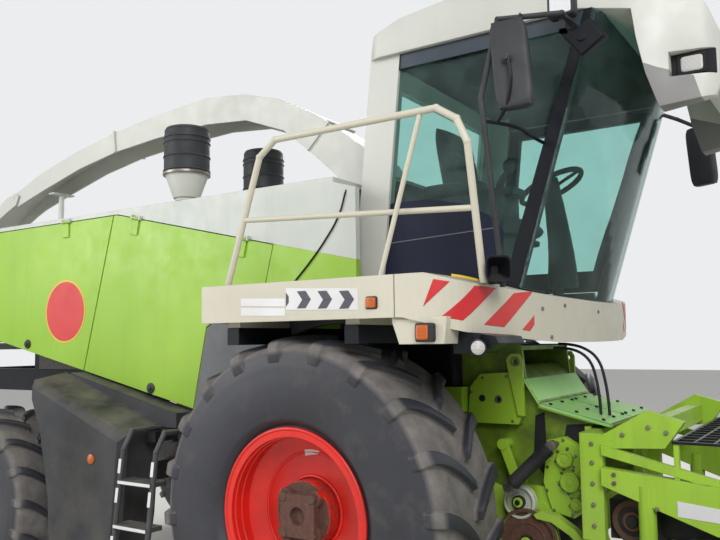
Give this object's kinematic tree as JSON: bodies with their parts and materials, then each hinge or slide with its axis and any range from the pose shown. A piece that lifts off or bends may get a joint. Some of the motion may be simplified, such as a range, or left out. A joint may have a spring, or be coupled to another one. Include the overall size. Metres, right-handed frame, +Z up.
{
  "type": "forage harvester",
  "caption": "Self-propelled forage harvester with cab, slewing crop spout, steered rear wheels, hinged side doors and a lifted rotary maize header.",
  "frame": {"origin": "on the ground, at the middle of the overall length and width", "axes": "+X forwards, +Y to the left, +Z up"},
  "size_m": [8.076, 3, 3.6543],
  "materials": {
    "lime_paint": "glossy lime enamel, scuffed",
    "cream_paint": "satin cream enamel",
    "pale_paint": "satin pale grey enamel",
    "red_paint": "glossy red enamel",
    "dark_paint": "satin dark grey enamel",
    "dark_plastic": "moulded, weathered",
    "tyre_rubber": "dusty",
    "cast_iron": "painted over, dusty",
    "bright_steel": "ground ram rod",
    "worn_steel": "worn by crop",
    "rusty_steel": "rusty",
    "cab_glass": "lightly tinted",
    "seat_cloth": "woven",
    "clear_lens": "moulded clear lens",
    "amber_lens": "moulded lens"
  },
  "bodies": {
    "chassis": {"chassis_frame": "dark_paint", "front_axle": "cast_iron", "rear_axle": "cast_iron", "engine_block": "cast_iron", "upper_body": "pale_paint", "fixed_panels": "lime_paint", "arch_panels": "dark_plastic", "walkways": "cream_paint", "front_fascia": "cream_paint", "cab_shell": "cream_paint", "cab_frame": "dark_paint", "cab_roof": "cream_paint", "cab_glass": "cab_glass", "seat": "seat_cloth", "controls": "dark_plastic", "mirrors": "dark_plastic", "handrails": "cream_paint", "ladders": "dark_paint", "side_boxes": "dark_plastic", "air_cleaners": "dark_plastic", "exhaust": "rusty_steel", "crop_channel": "dark_paint", "lamps": "amber_lens", "work_lamps": "clear_lens"},
    "wheel_fr": {"rim_fr": "red_paint", "tyre_fr": "tyre_rubber"},
    "wheel_fl": {"rim_fl": "red_paint", "tyre_fl": "tyre_rubber"},
    "wheel_rr": {"rim_rr": "red_paint", "tyre_rr": "tyre_rubber"},
    "wheel_rl": {"rim_rl": "red_paint", "tyre_rl": "tyre_rubber"},
    "knuckle_r": {"knuckle_r": "cast_iron"},
    "knuckle_l": {"knuckle_l": "cast_iron"},
    "door_fr": {"side_door_fr": "lime_paint"},
    "door_rr": {"side_door_rr": "lime_paint"},
    "door_fl": {"side_door_fl": "lime_paint"},
    "door_rl": {"side_door_rl": "lime_paint"},
    "grille": {"rear_grille": "dark_plastic"},
    "cab_door": {"cab_door": "dark_paint", "door_glass": "cab_glass"},
    "turret": {"spout_turret": "cream_paint"},
    "spout": {"spout_arch": "cream_paint"},
    "flap": {"spout_flap": "cream_paint"},
    "spout_barrel": {"spout_barrel": "dark_paint"},
    "spout_rod": {"spout_rod": "bright_steel"},
    "header": {"feeder_housing": "lime_paint", "header_drive": "lime_paint", "header_frame": "lime_paint", "mesh_guard": "dark_paint"},
    "lift_barrels": {"lift_barrels": "dark_paint"},
    "lift_rods": {"lift_rods": "bright_steel"},
    "rotor_r": {"rotor_r": "worn_steel"},
    "rotor_l": {"rotor_l": "worn_steel"}
  },
  "joints": [
    {"name": "wheel_fr_spin", "type": "hinge", "parent": "chassis", "child": "wheel_fr", "pos_m": [0.738, -1.112, 0.895], "axis": [0, 1, 0], "continuous": true},
    {"name": "wheel_fl_spin", "type": "hinge", "parent": "chassis", "child": "wheel_fl", "pos_m": [0.738, 1.112, 0.895], "axis": [0, 1, 0], "continuous": true},
    {"name": "steer_r", "type": "hinge", "parent": "chassis", "child": "knuckle_r", "pos_m": [-2.172, -0.8, 0.66], "axis": [0, 0, 1], "range_deg": [-40, 40]},
    {"name": "steer_l", "type": "hinge", "parent": "chassis", "child": "knuckle_l", "pos_m": [-2.172, 0.8, 0.66], "axis": [0, 0, 1], "range_deg": [-40, 40]},
    {"name": "wheel_rr_spin", "type": "hinge", "parent": "knuckle_r", "child": "wheel_rr", "pos_m": [-2.172, -1.112, 0.66], "axis": [0, 1, 0], "continuous": true},
    {"name": "wheel_rl_spin", "type": "hinge", "parent": "knuckle_l", "child": "wheel_rl", "pos_m": [-2.172, 1.112, 0.66], "axis": [0, 1, 0], "continuous": true},
    {"name": "door_fr_lift", "type": "hinge", "parent": "chassis", "child": "door_fr", "pos_m": [-0.462, -0.962, 2.48916], "axis": [-0.975, 0, 0.2221], "range_deg": [0, 55]},
    {"name": "door_rr_lift", "type": "hinge", "parent": "chassis", "child": "door_rr", "pos_m": [-2.462, -0.962, 2.637], "axis": [-1, 0, 0], "range_deg": [0, 55]},
    {"name": "door_fl_lift", "type": "hinge", "parent": "chassis", "child": "door_fl", "pos_m": [-0.462, 0.962, 2.48916], "axis": [0.975, 0, -0.2221], "range_deg": [0, 55]},
    {"name": "door_rl_lift", "type": "hinge", "parent": "chassis", "child": "door_rl", "pos_m": [-2.462, 0.962, 2.637], "axis": [1, 0, 0], "range_deg": [0, 55]},
    {"name": "grille_swing", "type": "hinge", "parent": "chassis", "child": "grille", "pos_m": [-3.834, 0.942, 2.2], "axis": [0, 0, -1], "range_deg": [0, 95]},
    {"name": "cab_door_swing", "type": "hinge", "parent": "chassis", "child": "cab_door", "pos_m": [0.9936, 0.822, 2.65], "axis": [0.1074, 0, 0.9942], "range_deg": [0, 80]},
    {"name": "spout_slew", "type": "hinge", "parent": "chassis", "child": "turret", "pos_m": [0.438, 0, 2.7], "axis": [0, 0, 1], "range_deg": [-105, 105]},
    {"name": "spout_lift", "type": "hinge", "parent": "turret", "child": "spout", "pos_m": [0.538, 0, 2.8], "axis": [0, 1, 0], "range_deg": [0, 30]},
    {"name": "flap_tilt", "type": "hinge", "parent": "spout", "child": "flap", "pos_m": [-3.552, 0, 3.15], "axis": [0, 1, 0], "range_deg": [-30, 12]},
    {"name": "spout_barrel_swing", "type": "hinge", "parent": "turret", "child": "spout_barrel", "pos_m": [0.408, 0.215, 2.78], "axis": [0, 1, 0], "range_deg": [-0.5, 33.73]},
    {"name": "spout_rod_slide", "type": "slide", "parent": "spout_barrel", "child": "spout_rod", "axis": [-0.7457, 0, 0.6663], "range_m": [-0.002, 0.0648]},
    {"name": "header_lift", "type": "hinge", "parent": "chassis", "child": "header", "pos_m": [0.838, 0, 1.42], "axis": [0, -1, 0], "range_deg": [-5.5, 12]},
    {"name": "lift_barrels_swing", "type": "hinge", "parent": "chassis", "child": "lift_barrels", "pos_m": [0.968, 0, 0.76], "axis": [0, -1, 0], "range_deg": [-5.19, 10.97]},
    {"name": "lift_rods_slide", "type": "slide", "parent": "lift_barrels", "child": "lift_rods", "axis": [0.9711, 0, 0.2385], "range_m": [-0.0671, 0.1429]},
    {"name": "rotor_r_spin", "type": "hinge", "parent": "header", "child": "rotor_r", "pos_m": [2.988, -0.745, 0.5], "axis": [0, 0, 1], "continuous": true},
    {"name": "rotor_l_spin", "type": "hinge", "parent": "header", "child": "rotor_l", "pos_m": [2.988, 0.745, 0.5], "axis": [0, 0, 1], "continuous": true}
  ],
  "couplings": [
    {"joint": "steer_l", "follows": "steer_r", "ratio": 1},
    {"joint": "spout_barrel_swing", "follows": "spout_lift", "ratio": 1.091},
    {"joint": "spout_rod_slide", "follows": "spout_lift", "m_per_rad": 0.11613},
    {"joint": "lift_barrels_swing", "follows": "header_lift", "ratio": 0.88885},
    {"joint": "lift_rods_slide", "follows": "header_lift", "m_per_rad": 0.6678},
    {"joint": "rotor_l_spin", "follows": "rotor_r_spin", "ratio": -1}
  ]
}
